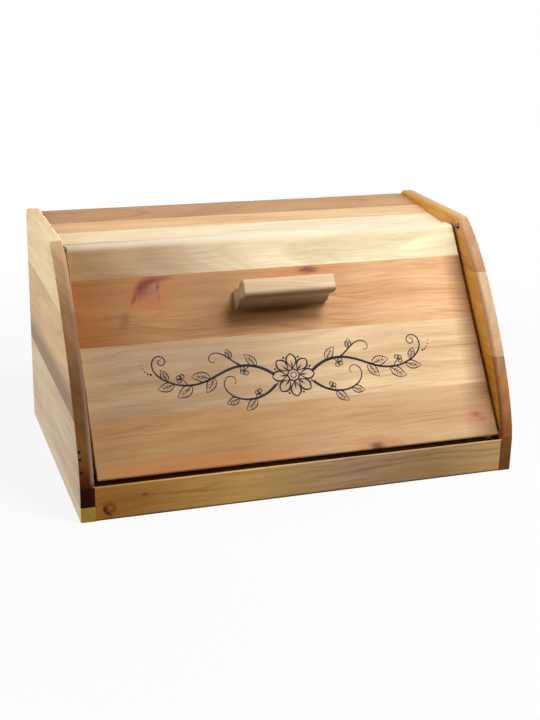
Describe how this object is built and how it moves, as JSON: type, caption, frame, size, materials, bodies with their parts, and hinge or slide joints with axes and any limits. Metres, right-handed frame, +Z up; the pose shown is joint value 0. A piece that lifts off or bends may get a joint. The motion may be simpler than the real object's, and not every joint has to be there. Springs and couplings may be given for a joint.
{
  "type": "bread box",
  "caption": "Wooden bread box with curved side panels and a flat leaning lid that drops forwards on pins, opened by a moulded bar handle.",
  "frame": {"origin": "on the table, under the middle of the box", "axes": "+Z up, +X to the right seen from the front along the box's width, the lid faces -Y"},
  "size_m": [0.39, 0.248, 0.206],
  "materials": {
    "side_wood": "clear satin lacquer",
    "lid_wood": "clear satin lacquer",
    "top_wood": "clear satin lacquer",
    "inner_wood": "bare sanded",
    "rail_wood": "clear satin lacquer",
    "handle_wood": "clear satin lacquer",
    "dowel_wood": "bare",
    "steel": "plain zinc",
    "plunger_steel": "polished",
    "brass": "satin"
  },
  "bodies": {
    "case": {"side_left_stave_1": "side_wood", "side_left_stave_2": "side_wood", "side_left_stave_3": "side_wood", "side_left_stave_4": "side_wood", "side_right_stave_1": "side_wood", "side_right_stave_2": "side_wood", "side_right_stave_3": "side_wood", "side_right_stave_4": "side_wood", "top_stave_1": "top_wood", "top_stave_2": "top_wood", "top_stave_3": "top_wood", "back_stave_1": "inner_wood", "back_stave_2": "inner_wood", "back_stave_3": "inner_wood", "floor_stave_1": "inner_wood", "floor_stave_2": "inner_wood", "floor_stave_3": "inner_wood", "front_rail": "rail_wood", "rail_dowels": "dowel_wood", "top_dowels": "dowel_wood", "hinge_pin_left": "steel", "hinge_spacer_left": "steel", "catch_barrel_left": "brass", "catch_spring_left": "steel", "hinge_pin_right": "steel", "hinge_spacer_right": "steel", "catch_barrel_right": "brass", "catch_spring_right": "steel"},
    "lid": {"lid_stave_1": "lid_wood", "lid_stave_2": "lid_wood", "lid_stave_3": "lid_wood", "lid_stave_4": "lid_wood", "lid_handle": "handle_wood", "handle_screws": "steel"},
    "catch_plunger_left": {"catch_plunger_left": "plunger_steel"},
    "catch_plunger_right": {"catch_plunger_right": "plunger_steel"}
  },
  "joints": [
    {"name": "lid_hinge", "type": "hinge", "parent": "case", "child": "lid", "pos_m": [0, -0.11466, 0.03834], "axis": [1, 0, 0], "range_deg": [0, 126]},
    {"name": "catch_left", "type": "slide", "parent": "case", "child": "catch_plunger_left", "axis": [-1, 0, 0], "range_m": [0, 0.0018], "stiffness_N_per_m": 1500},
    {"name": "catch_right", "type": "slide", "parent": "case", "child": "catch_plunger_right", "axis": [1, 0, 0], "range_m": [0, 0.0018], "stiffness_N_per_m": 1500}
  ]
}
